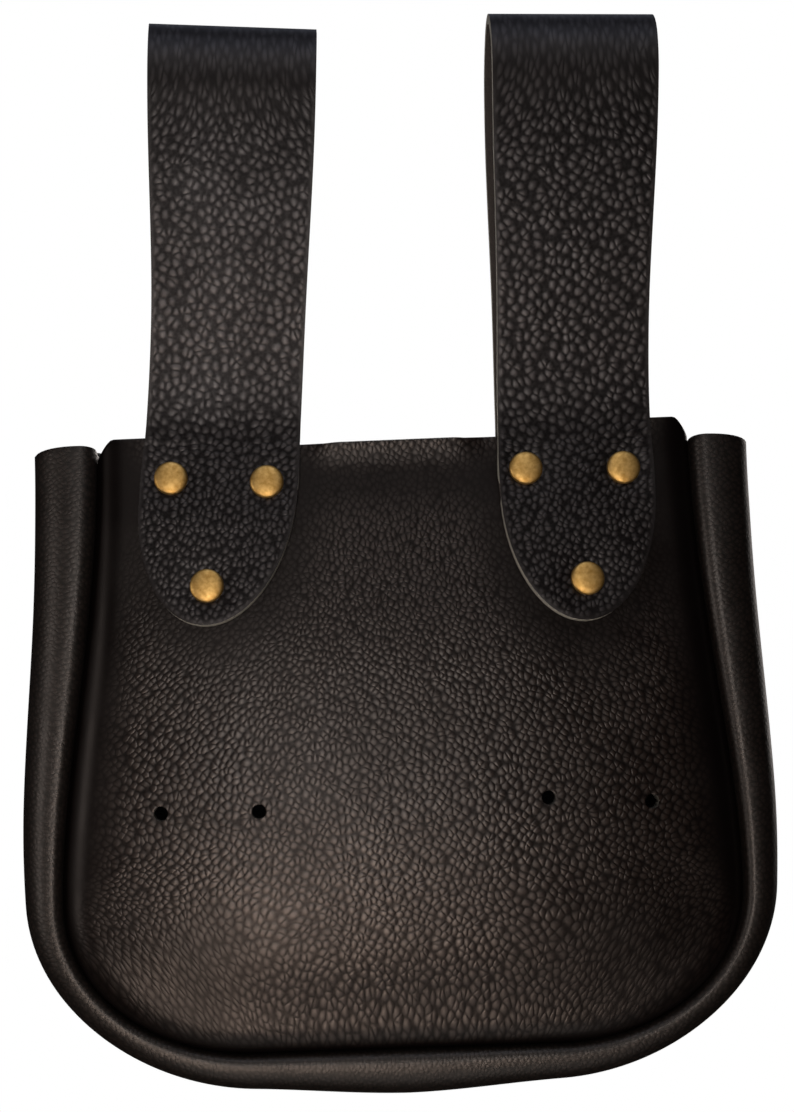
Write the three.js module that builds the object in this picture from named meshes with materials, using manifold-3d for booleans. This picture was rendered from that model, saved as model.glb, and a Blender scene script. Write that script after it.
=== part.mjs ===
// A belt pouch in black pebbled leather: a back and a front panel sewn to one gusset with turned seams,
// hung from two straps that are folded into belt loops and riveted through the back panel's top edge.
// Millimetres, +Z up. Someone facing the loops looks along +Y and has +X on the right.
// The origin lies midway between the loops, where the top edge of a belt bears under their folds.
import * as THREE from 'three';
import { mergeVertices } from 'three/addons/utils/BufferGeometryUtils.js';
import Module from 'manifold-3d';

const wasm = await Module();
wasm.setup();

// Leather, and the clearance between pieces that touch
const PANEL_LEATHER = 2;
const GUSSET_LEATHER = 1.8;
const STRAP_LEATHER = 2.4;
const GAP = 0.3;

// The seam line between panel and gusset, seen from the loop side
const MOUTH_Z = -97.3;
const BELLY_Z = -212.5;
const BOTTOM_Z = -249.5;
const MOUTH_HALF_WIDTH = 73.4;
const BELLY_HALF_WIDTH = 83.5;
const SIDE_EASE = 1.2;
const CORNER_WIDTH = 46;
const CORNER_HEIGHT = BELLY_Z - BOTTOM_Z;
const SIDE_RUN = MOUTH_Z - BELLY_Z;
const CORNER_RUN = Math.PI / 4 * (CORNER_WIDTH + CORNER_HEIGHT);
const BOTTOM_HALF_RUN = BELLY_HALF_WIDTH - CORNER_WIDTH;
const HALF_RUN = SIDE_RUN + CORNER_RUN + BOTTOM_HALF_RUN;

// The gusset beside the seam, by the run along the seam from the mouth to the middle of the bottom.
// depth is from the pouch's middle plane to the seam, roll is how far the strip stands out beyond the seam,
// and crest is how far its roll rises from the seam towards the panel's face. The crest lies near the seam, and
// from there the strip curves away into the side wall.
const GUSSET_SECTIONS = [
  { run: 0, depth: 11, roll: 16.6, crest: 5.2 },
  { run: 25, depth: 15, roll: 16.4, crest: 5.2 },
  { run: 55, depth: 17.8, roll: 15.1, crest: 5 },
  { run: 92, depth: 18.5, roll: 13, crest: 4.7 },
  { run: 116, depth: 18.5, roll: 11.6, crest: 4.4 },
  { run: 148, depth: 18.5, roll: 10.7, crest: 4.2 },
  { run: 181, depth: 18.5, roll: 12.3, crest: 4.4 },
  { run: 219, depth: 18.5, roll: 14.3, crest: 4.6 },
];
const CREST_SHARE = 0.3;
const WALL_DEPTH_SHARE = 0.45;
const GUSSET_TOP_RUN = 5;
const GUSSET_TOP_LEAN = 0.15;
const GUSSET_LEAN_RUN = 40;
const GUSSET_WALL_BULGE = 1.2;
const FLANGE = 5;

// The panel: how its face swells between the seams, by the drop below the mouth. It is flatter in the middle and
// falls off towards the side seams.
const PANEL_CROWN = [
  { drop: 0, crown: 0 },
  { drop: 30, crown: 2.8 },
  { drop: 60, crown: 6.4 },
  { drop: 95, crown: 8.6 },
  { drop: 125, crown: 6.2 },
  { drop: 142, crown: 2 },
  { drop: 152.2, crown: 0 },
];
const CROWN_POWER = 2.6;
const EDGE_INSETS = [0, 0.6, 1.8, 3.8, 7];
const EDGE_RISE = 5;
const MOUTH_CORNER_INSET = 4;
const MOUTH_CORNER_DROP = 5.2;
const MOUTH_CORNER_POWER = 1.5;
const MOUTH_TILT = 1.6;
const LIP_SAG = 3.2;
const LIP_SAG_START = 25;
const LIP_SAG_END = 60;
const LIP_FLARE = 1.6;
const LIP_HEIGHT = 7;
const LIP_HALF_WIDTH = 24;
const FRONT_MOUTH_DROP = 2;
const PUNCHED_HOLE_RADIUS = 1.75;
const PUNCHED_HOLES = [
  { x: -59, z: -189.4 },
  { x: -35.5, z: -189.3 },
  { x: 34.3, z: -187.9 },
  { x: 59.8, z: -189.8 },
];

// The belt loops: where the strap's middle lies at its fold, halfway down, at its upper rivets and at its tip
const STRAPS = [
  {
    name: 'belt_loop_left', foldX: -37.6, foldZ: -0.7, middleX: -40, rivetX: -43.2, tipX: -47.1, tipZ: -144.9,
  },
  {
    name: 'belt_loop_right', foldX: 45.8, foldZ: 1.3, middleX: 44.4, rivetX: 44.2, tipX: 44.6, tipZ: -145.8,
  },
];
const STRAP_FOLD_WIDTH = 40.9;
const STRAP_MIDDLE_WIDTH = 37.6;
const STRAP_RIVET_WIDTH = 38.4;
const STRAP_MIDDLE_Z = -65;
const STRAP_RIVET_Z = -109.3;
const TONGUE_START_Z = -114;
const TONGUE_ROUNDNESS = 0.54;
const LOOP_JOIN_Z = -100.5;
const LOOP_NECK_Z = -84;
const LOOP_SHOULDER_DROP = 15;
const LOOP_WAIST_Z = -55;
const LOOP_HALF_DEPTH = 9;

// Rivets: a domed cap outside, a post through strap, panel and strap, and a domed cap inside
const RIVETS = [
  { name: 'rivet_left_outer', x: -55, z: -109.5 },
  { name: 'rivet_left_inner', x: -31.8, z: -110.9 },
  { name: 'rivet_left_lower', x: -46.6, z: -135.7 },
  { name: 'rivet_right_inner', x: 31.6, z: -108.9 },
  { name: 'rivet_right_outer', x: 55.7, z: -109.1 },
  { name: 'rivet_right_lower', x: 45.3, z: -136 },
];
const RIVET_CAP_RADIUS = 4.1;
const RIVET_CAP_RIM = 0.5;
const RIVET_CAP_HEIGHT = 2;
const RIVET_POST_RADIUS = 1.5;
const RIVET_SIDES = 12;
const DOME_STEPS = 3;

// Mesh steps
const PANEL_COLUMNS = 20;
const PANEL_ROWS = 22;
const RING_REACH = 62;
const SIDE_STEPS = 9;
const CORNER_STEPS = 7;
const BOTTOM_HALF_STEPS = 3;
const ROLL_STEPS = 5;
const WALL_STEPS = 2;
const STRAP_COLUMNS = 4;
const STRAP_LEG_ROWS = 5;
const LOOP_STEPS = 6;
const STRAP_SPARE = 5;
const CUT_DEPTH = 60;
const HOLE_SIDES = 12;

// A smooth curve through one column of a table
function columnCurve(rows, place, column) {
  const curve = new THREE.CubicInterpolant(rows.map((row) => row[place]), rows.map((row) => row[column]), 1);
  return (at) => curve.evaluate(at)[0];
}

const seamDepthAt = columnCurve(GUSSET_SECTIONS, 'run', 'depth');
const rollAt = columnCurve(GUSSET_SECTIONS, 'run', 'roll');
const crestAt = columnCurve(GUSSET_SECTIONS, 'run', 'crest');
const crownAt = columnCurve(PANEL_CROWN, 'drop', 'crown');
const { smoothstep, lerp } = THREE.MathUtils;

// The pouch's middle plane, set so that the back panel's top edge is centred on the plane of the loops
const MIDDLE_Y = seamDepthAt(0) + EDGE_RISE - PANEL_LEATHER / 2;

// Half the width between the side seams at a height, as if the sides ran on to the bottom
function sideHalfWidth(z) {
  const share = THREE.MathUtils.clamp((MOUTH_Z - z) / SIDE_RUN, 0, 1);
  return lerp(MOUTH_HALF_WIDTH, BELLY_HALF_WIDTH, smoothstep(share ** SIDE_EASE, 0, 1));
}

// A closed geometry with positions alone, shared vertices merged and faces without area left out
function closedGeometry(geometry) {
  const bare = new THREE.BufferGeometry();
  bare.setAttribute('position', geometry.getAttribute('position'));
  bare.setIndex(geometry.index);
  const merged = mergeVertices(bare, 1e-4);
  const corners = merged.index.array;
  const kept = [];
  for (let at = 0; at < corners.length; at += 3) {
    const [a, b, c] = corners.subarray(at, at + 3);
    if (a !== b && b !== c && c !== a) kept.push(a, b, c);
  }
  merged.setIndex(kept);
  return merged;
}

function solidOf(geometry) {
  const closed = closedGeometry(geometry);
  const vertProperties = new Float32Array(closed.getAttribute('position').array);
  const triVerts = new Uint32Array(closed.index.array);
  return new wasm.Manifold(new wasm.Mesh({ numProp: 3, vertProperties, triVerts }));
}

function geometryOf(solid) {
  const { vertProperties, triVerts } = solid.getMesh();
  const geometry = new THREE.BufferGeometry();
  geometry.setAttribute('position', new THREE.BufferAttribute(vertProperties, 3));
  geometry.setIndex(new THREE.BufferAttribute(triVerts, 1));
  return geometry;
}

// A leather wall: a box grid bent onto pointAt(column, row), which gives the wall's reference surface.
// Columns run to the right and rows run down when the grain side is seen. The wall reaches grainReach from the
// reference surface towards the grain side and fleshReach towards the flesh side.
function leatherWall(columns, rows, pointAt, grainReach, fleshReach) {
  const grid = [];
  for (let row = 0; row <= rows; row += 1) {
    for (let column = 0; column <= columns; column += 1) grid.push(pointAt(column, row));
  }
  const gridPoint = (column, row) => grid[row * (columns + 1) + column];
  const box = closedGeometry(new THREE.BoxGeometry(1, 1, 1, columns, 1, rows));
  const position = box.getAttribute('position');
  for (let vertex = 0; vertex < position.count; vertex += 1) {
    const column = Math.round((position.getX(vertex) + 0.5) * columns);
    const row = Math.round((0.5 - position.getZ(vertex)) * rows);
    const reach = position.getY(vertex) < 0 ? grainReach : -fleshReach;
    const across = gridPoint(Math.min(column + 1, columns), row).clone();
    across.sub(gridPoint(Math.max(column - 1, 0), row));
    const down = gridPoint(column, Math.min(row + 1, rows)).clone();
    down.sub(gridPoint(column, Math.max(row - 1, 0)));
    const normal = down.cross(across).normalize();
    const place = gridPoint(column, row).clone().addScaledVector(normal, reach);
    position.setXYZ(vertex, place.x, place.y, place.z);
  }
  return box;
}

// The back panel's grain side inside its turned edges, and the direction that it faces
function panelFacePoint(x, z) {
  const drop = MOUTH_Z - z;
  const swell = crownAt(drop) * (1 - Math.abs(x / sideHalfWidth(z)) ** CROWN_POWER);
  return new THREE.Vector3(x, MIDDLE_Y - seamDepthAt(drop) - EDGE_RISE - swell, z);
}

function panelFacing(x, z) {
  const across = panelFacePoint(x + 1, z).sub(panelFacePoint(x - 1, z));
  const up = panelFacePoint(x, z + 1).sub(panelFacePoint(x, z - 1));
  return across.cross(up).normalize();
}

// A place at a distance outside the panel's grain side, or inside it where the distance is negative
function besidePanel(x, z, distance) {
  return panelFacePoint(x, z).addScaledVector(panelFacing(x, z), distance);
}

// A panel is a grid of nested U-shaped rings: its flange inside the pouch, the seam, the turned edge, and then
// rings that close in on the middle. Each ring has two sides and a bottom joined by corners.
function panelGeometry(lipShaped) {
  const middleRing = PANEL_COLUMNS / 2;
  const lastEdgeRing = EDGE_INSETS.length;
  const edgeWidth = EDGE_INSETS.at(-1);
  function ringShape(ring) {
    const inset = EDGE_INSETS[THREE.MathUtils.clamp(ring - 1, 0, lastEdgeRing - 1)];
    const inward = Math.max(0, (ring - lastEdgeRing) / (middleRing - lastEdgeRing));
    const bottom = BOTTOM_Z + inset + inward * RING_REACH;
    const cornerWidth = (CORNER_WIDTH - inset) * (1 - inward);
    const cornerHeight = (CORNER_HEIGHT - inset) * (1 - inward);
    const turn = 1 - inset / edgeWidth;
    const rise = EDGE_RISE * Math.sqrt(1 - turn * turn);
    return { inset, inward, bottom, cornerWidth, cornerHeight, rise };
  }
  function mouthEdge(x, inset) {
    const corner = MOUTH_CORNER_DROP * Math.max(0, 1 - inset / MOUTH_CORNER_INSET) ** MOUTH_CORNER_POWER;
    const sag = LIP_SAG * (1 - smoothstep(Math.abs(x), LIP_SAG_START, LIP_SAG_END));
    const tilt = MOUTH_TILT * x / MOUTH_HALF_WIDTH;
    return MOUTH_Z - corner + (lipShaped ? tilt - sag : -FRONT_MOUTH_DROP);
  }
  function lipFlare(x, z, top) {
    if (!lipShaped || Math.abs(x) > LIP_HALF_WIDTH) return 0;
    const across = Math.cos(Math.PI / 2 * x / LIP_HALF_WIDTH) ** 2;
    return LIP_FLARE * across * Math.max(0, 1 - (top - z) / LIP_HEIGHT) ** 2;
  }
  function pointAt(column, row) {
    const ring = Math.min(column, PANEL_COLUMNS - column, PANEL_ROWS - row);
    const { inset, inward, bottom, cornerWidth, cornerHeight, rise } = ringShape(ring);
    const halfWidthAt = (z) => (sideHalfWidth(z) - inset) * (1 - inward);
    const hand = Math.sign(column - middleRing);
    const halfCorner = (cornerWidth + cornerHeight) * Math.PI / 8;
    const turnAt = (pastCorner) => Math.max(0, pastCorner) / Math.max(halfCorner, 1e-6) * Math.PI / 4;
    const cornerZ = bottom + cornerHeight;
    const cornerX = halfWidthAt(BELLY_Z) - cornerWidth;
    const top = mouthEdge(hand * halfWidthAt(MOUTH_Z), inset);
    let x;
    let z;
    if (PANEL_ROWS - row > ring || ring === middleRing) {
      const run = (top - cornerZ + halfCorner) * row / (PANEL_ROWS - ring);
      const turned = turnAt(run - (top - cornerZ));
      z = turned > 0 ? cornerZ - cornerHeight * Math.sin(turned) : top - run;
      x = turned > 0 ? cornerX + cornerWidth * Math.cos(turned) : halfWidthAt(z);
    } else {
      const share = Math.abs(column - middleRing) / (middleRing - ring);
      const run = (cornerX + halfCorner) * share;
      const turned = turnAt(run - cornerX);
      x = turned > 0 ? cornerX + cornerWidth * Math.sin(turned) : run;
      z = turned > 0 ? cornerZ - cornerHeight * Math.cos(turned) : bottom;
    }
    const place = panelFacePoint(hand * x, z);
    place.y += EDGE_RISE - rise + (ring === 0 ? FLANGE : 0) - lipFlare(x, z, top);
    return place;
  }
  return leatherWall(PANEL_COLUMNS, PANEL_ROWS, pointAt, 0, PANEL_LEATHER);
}

// A place on the right half of the seam, and the direction there that leads out of the pouch
function seamPlace(run) {
  if (run <= SIDE_RUN) {
    const z = MOUTH_Z - run;
    const widening = (sideHalfWidth(z + 1) - sideHalfWidth(z - 1)) / 2;
    return { place: new THREE.Vector2(sideHalfWidth(z), z), out: new THREE.Vector2(1, -widening).normalize() };
  }
  const angle = Math.min((run - SIDE_RUN) / CORNER_RUN, 1) * Math.PI / 2;
  const out = new THREE.Vector2(Math.cos(angle) / CORNER_WIDTH, -Math.sin(angle) / CORNER_HEIGHT).normalize();
  const place = new THREE.Vector2(CORNER_WIDTH * Math.cos(angle), -CORNER_HEIGHT * Math.sin(angle));
  place.x += BOTTOM_HALF_RUN - Math.max(0, run - SIDE_RUN - CORNER_RUN);
  place.y += BELLY_Z;
  return { place, out };
}

// The gusset's section from the back seam to its middle: flange, roll and half of the side wall.
// Each place is a distance out from the seam and a depth from the pouch's middle plane.
function gussetHalfSection(run) {
  const depth = seamDepthAt(run);
  const wallOut = rollAt(run) - GUSSET_WALL_BULGE;
  const crestOut = GAP + CREST_SHARE * wallOut;
  const crestDepth = depth + crestAt(run);
  const wallDepth = WALL_DEPTH_SHARE * depth;
  const section = [{ out: GAP, depth: depth - FLANGE }];
  for (let step = 0; step <= ROLL_STEPS; step += 1) {
    const angle = Math.PI * step / ROLL_STEPS;
    const foot = step < ROLL_STEPS / 2 ? { out: GAP, depth } : { out: wallOut, depth: wallDepth };
    section.push({
      out: crestOut + Math.abs(Math.cos(angle)) * (foot.out - crestOut),
      depth: foot.depth + Math.sin(angle) * (crestDepth - foot.depth),
    });
  }
  for (let step = 1; step < WALL_STEPS; step += 1) {
    const share = step / WALL_STEPS;
    section.push({
      out: wallOut + GUSSET_WALL_BULGE * Math.sin(Math.PI / 2 * share),
      depth: wallDepth * (1 - share),
    });
  }
  section.push({ out: wallOut + GUSSET_WALL_BULGE, depth: 0 });
  return section;
}

// The places of the gusset's sections along the seam, from the mouth to the middle of the bottom
function gussetRuns() {
  const runs = [];
  for (let step = 0; step < SIDE_STEPS; step += 1) runs.push(lerp(GUSSET_TOP_RUN, SIDE_RUN, step / SIDE_STEPS));
  for (let step = 0; step < CORNER_STEPS; step += 1) runs.push(SIDE_RUN + CORNER_RUN * step / CORNER_STEPS);
  for (let step = 0; step <= BOTTOM_HALF_STEPS; step += 1) {
    runs.push(lerp(SIDE_RUN + CORNER_RUN, HALF_RUN, step / BOTTOM_HALF_STEPS));
  }
  return runs;
}

// The gusset goes down the right side, along the bottom and up the left side
function gussetGeometry() {
  const runs = gussetRuns();
  const rows = 2 * (runs.length - 1);
  const columns = 2 * (gussetHalfSection(0).length - 1);
  function pointAt(column, row) {
    const run = runs[Math.min(row, rows - row)];
    const hand = row <= rows / 2 ? 1 : -1;
    const face = column <= columns / 2 ? -1 : 1;
    const { out, depth } = gussetHalfSection(run)[Math.min(column, columns - column)];
    const { place, out: outward } = seamPlace(run);
    const lean = GUSSET_TOP_LEAN * (1 - smoothstep(run, GUSSET_TOP_RUN, GUSSET_LEAN_RUN));
    place.addScaledVector(outward, out);
    const lift = lean * Math.max(depth - seamDepthAt(run), -GUSSET_TOP_RUN / 2);
    return new THREE.Vector3(hand * place.x, MIDDLE_Y + face * depth, place.y + lift);
  }
  return leatherWall(columns, rows, pointAt, 0, GUSSET_LEATHER);
}

// The way of a strap's flesh side in the loop, seen from the side as (y, z), from its inner to its outer leg
function loopPath(foldZ) {
  const shoulderZ = foldZ - LOOP_SHOULDER_DROP;
  const innerStart = besidePanel(0, LOOP_JOIN_Z, -PANEL_LEATHER - GAP);
  const outerEnd = besidePanel(0, LOOP_JOIN_Z, GAP);
  const lean = panelFacePoint(0, LOOP_JOIN_Z + 1).y - panelFacePoint(0, LOOP_JOIN_Z).y;
  const leanToNeck = lean * (LOOP_NECK_Z - LOOP_JOIN_Z);
  const path = new THREE.Path();
  path.moveTo(innerStart.y, innerStart.z);
  path.bezierCurveTo(
    innerStart.y + leanToNeck, LOOP_NECK_Z,
    LOOP_HALF_DEPTH, LOOP_WAIST_Z,
    LOOP_HALF_DEPTH, shoulderZ,
  );
  path.absellipse(0, shoulderZ, LOOP_HALF_DEPTH, LOOP_SHOULDER_DROP, 0, Math.PI, false);
  path.bezierCurveTo(
    -LOOP_HALF_DEPTH, LOOP_WAIST_Z,
    outerEnd.y + leanToNeck, LOOP_NECK_Z,
    outerEnd.y, outerEnd.z,
  );
  return path.getPoints(LOOP_STEPS);
}

// A strap's outline, seen from the loop side: straight edges that narrow from the fold, and a rounded tongue
function strapOutline({ foldX, foldZ, middleX, rivetX, tipX, tipZ }) {
  const tongueX = lerp(rivetX, tipX, (TONGUE_START_Z - STRAP_RIVET_Z) / (tipZ - STRAP_RIVET_Z));
  const outline = new THREE.Shape();
  const edge = (side) => [
    new THREE.Vector2(foldX + side * STRAP_FOLD_WIDTH / 2, foldZ + 2 * STRAP_LEATHER),
    new THREE.Vector2(middleX + side * STRAP_MIDDLE_WIDTH / 2, STRAP_MIDDLE_Z),
    new THREE.Vector2(rivetX + side * STRAP_RIVET_WIDTH / 2, STRAP_RIVET_Z),
    new THREE.Vector2(tongueX + side * STRAP_RIVET_WIDTH / 2, TONGUE_START_Z),
  ];
  const [left, right] = [edge(-1), edge(1)];
  const shoulderZ = lerp(TONGUE_START_Z, tipZ, TONGUE_ROUNDNESS);
  outline.moveTo(left[0].x, left[0].y);
  for (const { x, y } of left.slice(1)) outline.lineTo(x, y);
  const leftOfTip = lerp(tipX, left[3].x, TONGUE_ROUNDNESS);
  const rightOfTip = lerp(tipX, right[3].x, TONGUE_ROUNDNESS);
  outline.bezierCurveTo(left[3].x, shoulderZ, leftOfTip, tipZ, tipX, tipZ);
  outline.bezierCurveTo(rightOfTip, tipZ, right[3].x, shoulderZ, right[3].x, TONGUE_START_Z);
  for (const { x, y } of right.slice(0, 3).reverse()) outline.lineTo(x, y);
  outline.closePath();
  return outline;
}

// A strap: a wide band bent along its way, trimmed to the outline and punched for its rivets
function strapGeometry(strap, holes) {
  const loop = loopPath(strap.foldZ);
  const rows = 2 * STRAP_LEG_ROWS + loop.length - 1;
  const lowestZ = strap.tipZ - STRAP_SPARE;
  const middleX = (strap.foldX + strap.tipX) / 2;
  const halfWidth = STRAP_FOLD_WIDTH / 2 + Math.abs(strap.foldX - strap.tipX) / 2 + STRAP_SPARE;
  function pointAt(column, row) {
    const x = lerp(middleX - halfWidth, middleX + halfWidth, column / STRAP_COLUMNS);
    const fromEnd = Math.min(row, rows - row);
    if (fromEnd < STRAP_LEG_ROWS) {
      const z = lerp(lowestZ, LOOP_JOIN_Z, fromEnd / STRAP_LEG_ROWS);
      return besidePanel(x, z, row === fromEnd ? -PANEL_LEATHER - GAP : GAP);
    }
    const { x: y, y: z } = loop[row - STRAP_LEG_ROWS];
    return new THREE.Vector3(x, y, z);
  }
  const band = leatherWall(STRAP_COLUMNS, rows, pointAt, STRAP_LEATHER, 0);
  const trim = new THREE.ExtrudeGeometry(strapOutline(strap), {
    depth: 2 * CUT_DEPTH, bevelEnabled: false, curveSegments: 7,
  });
  trim.rotateX(Math.PI / 2).translate(0, CUT_DEPTH, 0);
  return geometryOf(solidOf(band).intersect(solidOf(trim)).subtract(holes));
}

// A round pin or hole across the panel's wall at one place
function acrossPanel(geometry, { x, z }) {
  const turn = new THREE.Quaternion().setFromUnitVectors(new THREE.Vector3(0, 1, 0), panelFacing(x, z));
  return geometry.applyQuaternion(turn).translate(...panelFacePoint(x, z).toArray());
}

function holesAt(places, radius) {
  const cutter = (place) => {
    const pin = new THREE.CylinderGeometry(radius, radius, CUT_DEPTH / 2, HOLE_SIDES);
    return solidOf(acrossPanel(pin, place));
  };
  return places.map(cutter).reduce((all, one) => all.add(one));
}

function rivetGeometry(place) {
  const outerSeat = 2 * GAP + STRAP_LEATHER;
  const innerSeat = -PANEL_LEATHER - outerSeat;
  const outerRim = outerSeat + RIVET_CAP_RIM;
  const domeHeight = RIVET_CAP_HEIGHT - RIVET_CAP_RIM;
  const profile = [];
  for (let step = 0; step <= DOME_STEPS; step += 1) {
    const angle = Math.PI / 2 * step / DOME_STEPS;
    const radius = step === DOME_STEPS ? 0 : RIVET_CAP_RADIUS * Math.cos(angle);
    profile.unshift(new THREE.Vector2(radius, outerRim + domeHeight * Math.sin(angle)));
  }
  profile.push(new THREE.Vector2(RIVET_CAP_RADIUS, outerSeat), new THREE.Vector2(RIVET_POST_RADIUS, outerSeat));
  const middle = (outerSeat + innerSeat) / 2;
  const mirrored = profile.map(({ x, y }) => new THREE.Vector2(x, 2 * middle - y));
  const spool = new THREE.LatheGeometry([...mirrored, ...profile.toReversed()], RIVET_SIDES);
  return acrossPanel(closedGeometry(spool), place);
}

// The pouch
const pebbledLeather = { color: 0x1e1a18, roughness: 0.55, metalness: 0 };
const strapLeather = { color: 0x1a1a1c, roughness: 0.5, metalness: 0 };
const agedBrass = { color: 0x8a6a40, roughness: 0.35, metalness: 1 };
const pouch = new THREE.Group();

function addPiece(name, geometry, finish) {
  const piece = new THREE.Mesh(geometry, new THREE.MeshStandardMaterial(finish));
  piece.name = name;
  pouch.add(piece);
  return piece;
}

const rivetHoles = holesAt(RIVETS, RIVET_POST_RADIUS + GAP);
const punchedHoles = holesAt(PUNCHED_HOLES, PUNCHED_HOLE_RADIUS);
const backPanel = solidOf(panelGeometry(true)).subtract(rivetHoles).subtract(punchedHoles);
addPiece('back_panel', geometryOf(backPanel), pebbledLeather);

const frontPanel = addPiece('front_panel', panelGeometry(false), pebbledLeather);
frontPanel.rotation.z = Math.PI;
frontPanel.position.y = 2 * MIDDLE_Y;

addPiece('gusset', gussetGeometry(), pebbledLeather);
for (const strap of STRAPS) {
  addPiece(strap.name, strapGeometry(strap, rivetHoles), strapLeather);
}
for (const rivet of RIVETS) {
  addPiece(rivet.name, rivetGeometry(rivet), agedBrass);
}

export default pouch;
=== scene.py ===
import math

import bmesh
import bpy
from mathutils import Matrix, Vector, geometry


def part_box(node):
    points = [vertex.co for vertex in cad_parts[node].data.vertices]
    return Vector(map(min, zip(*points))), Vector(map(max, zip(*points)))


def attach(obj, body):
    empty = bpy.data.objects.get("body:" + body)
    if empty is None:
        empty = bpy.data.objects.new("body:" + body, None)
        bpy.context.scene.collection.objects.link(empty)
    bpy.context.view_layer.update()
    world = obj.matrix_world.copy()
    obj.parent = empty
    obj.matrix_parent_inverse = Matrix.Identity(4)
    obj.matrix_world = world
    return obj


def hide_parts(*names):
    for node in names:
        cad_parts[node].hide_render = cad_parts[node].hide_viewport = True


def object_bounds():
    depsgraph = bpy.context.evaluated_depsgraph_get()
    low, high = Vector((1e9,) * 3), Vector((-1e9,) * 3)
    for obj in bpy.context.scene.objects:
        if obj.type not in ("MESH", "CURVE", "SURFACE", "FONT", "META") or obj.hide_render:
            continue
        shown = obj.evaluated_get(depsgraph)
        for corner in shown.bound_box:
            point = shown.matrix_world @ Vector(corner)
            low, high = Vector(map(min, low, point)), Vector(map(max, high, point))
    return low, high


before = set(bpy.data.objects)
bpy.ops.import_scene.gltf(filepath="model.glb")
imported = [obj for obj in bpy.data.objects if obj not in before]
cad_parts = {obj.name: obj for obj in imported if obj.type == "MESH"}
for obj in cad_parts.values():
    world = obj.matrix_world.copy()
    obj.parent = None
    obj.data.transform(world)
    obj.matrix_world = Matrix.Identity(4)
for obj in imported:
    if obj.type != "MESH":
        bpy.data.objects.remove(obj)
cad_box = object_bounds()

# Back panel
# The panel on the wearer's side: one sheet of black milled cowhide with a pebbled grain and rounded bottom
# corners. Its sides and bottom are turned into the seam, its mouth edge is cut, and four holes are punched
# in its lower half.
MM = 0.001
TINY = 0.001 * MM
PANEL_LEATHER = 2.0 * MM
MOUTH_Z = -97.3 * MM
BELLY_Z = -212.5 * MM
MOUTH_HALF_WIDTH = 73.4 * MM
SIDE_EASE = 1.2
CORNER_WIDTH = 46.0 * MM
EDGE_WIDTH = 7.0 * MM
EDGE_RISE = 5.0 * MM
FLANGE = 5.0 * MM
RING_REACH = 62.0 * MM
MOUTH_CORNER_INSET = 4.0 * MM
MOUTH_CORNER_DROP = 5.2 * MM
MOUTH_CORNER_POWER = 1.5
MOUTH_TILT = 1.6 * MM
LIP_SAG = 3.2 * MM
LIP_SAG_START = 25.0 * MM
LIP_SAG_END = 60.0 * MM
LIP_FLARE = 1.8 * MM
LIP_HEIGHT = 8.0 * MM
LIP_HALF_WIDTH = 23.5 * MM
LIP_EDGE = 9.0 * MM
FRONT_MOUTH_DROP = 2.0 * MM

panel_low, panel_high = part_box("back_panel")
gusset_low, gusset_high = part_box("gusset")
BOTTOM_Z = panel_low.z
BELLY_HALF_WIDTH = panel_high.x
MIDDLE_Y = (gusset_low.y + gusset_high.y) / 2.0
CORNER_HEIGHT = BELLY_Z - BOTTOM_Z
SIDE_RUN = MOUTH_Z - BELLY_Z

# How deep the seam lies from the middle plane by the run along it, and how far the face swells by the drop
# below the mouth, in millimetres.
SEAM_DEPTHS = (
    {"run": 0, "depth": 11},
    {"run": 25, "depth": 15},
    {"run": 55, "depth": 17.8},
    {"run": 92, "depth": 18.5},
    {"run": 219, "depth": 18.5},
)
PANEL_CROWNS = (
    {"drop": 0, "crown": 0},
    {"drop": 30, "crown": 2.8},
    {"drop": 60, "crown": 6.4},
    {"drop": 95, "crown": 8.6},
    {"drop": 125, "crown": 6.2},
    {"drop": 142, "crown": 2},
    {"drop": 152.2, "crown": 0},
)
CROWN_POWER = 2.6
PUNCHED_HOLE_RADIUS = 1.75 * MM
PUNCHED_HOLES = (
    {"x": -59, "z": -189.4},
    {"x": -35.5, "z": -189.3},
    {"x": 34.3, "z": -187.9},
    {"x": 59.8, "z": -189.8},
)
RIVETS = (
    {"node": "rivet_left_outer", "x": -55, "z": -109.5},
    {"node": "rivet_left_inner", "x": -31.8, "z": -110.9},
    {"node": "rivet_left_lower", "x": -46.6, "z": -135.7},
    {"node": "rivet_right_inner", "x": 31.6, "z": -108.9},
    {"node": "rivet_right_outer", "x": 55.7, "z": -109.1},
    {"node": "rivet_right_lower", "x": 45.3, "z": -136},
)
STRAPS = (
    {"node": "belt_loop_left", "fold_x": -37.6, "fold_z": -0.2, "middle_x": -40, "rivet_x": -43.2,
     "tip_x": -47.1, "tip_z": -144.9, "fold_tilt": -0.045},
    {"node": "belt_loop_right", "fold_x": 45.8, "fold_z": 2.1, "middle_x": 44.4, "rivet_x": 44.2,
     "tip_x": 44.6, "tip_z": -145.8, "fold_tilt": -0.012},
)
TONGUE_START_Z = -114.0 * MM
TONGUE_HALF_WIDTH = 19.1 * MM
RIVET_HOLE_RADIUS = 1.8 * MM
RIVET_DIP = 0.8 * MM
RIVET_DIP_REACH = 5.0 * MM


def smooth_step(value, start, end):
    """A soft ramp from 0 at start to 1 at end."""
    share = min(max((value - start) / (end - start), 0.0), 1.0)
    return share * share * (3.0 - 2.0 * share)


def mix(start, end, share):
    return start + (end - start) * share


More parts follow.
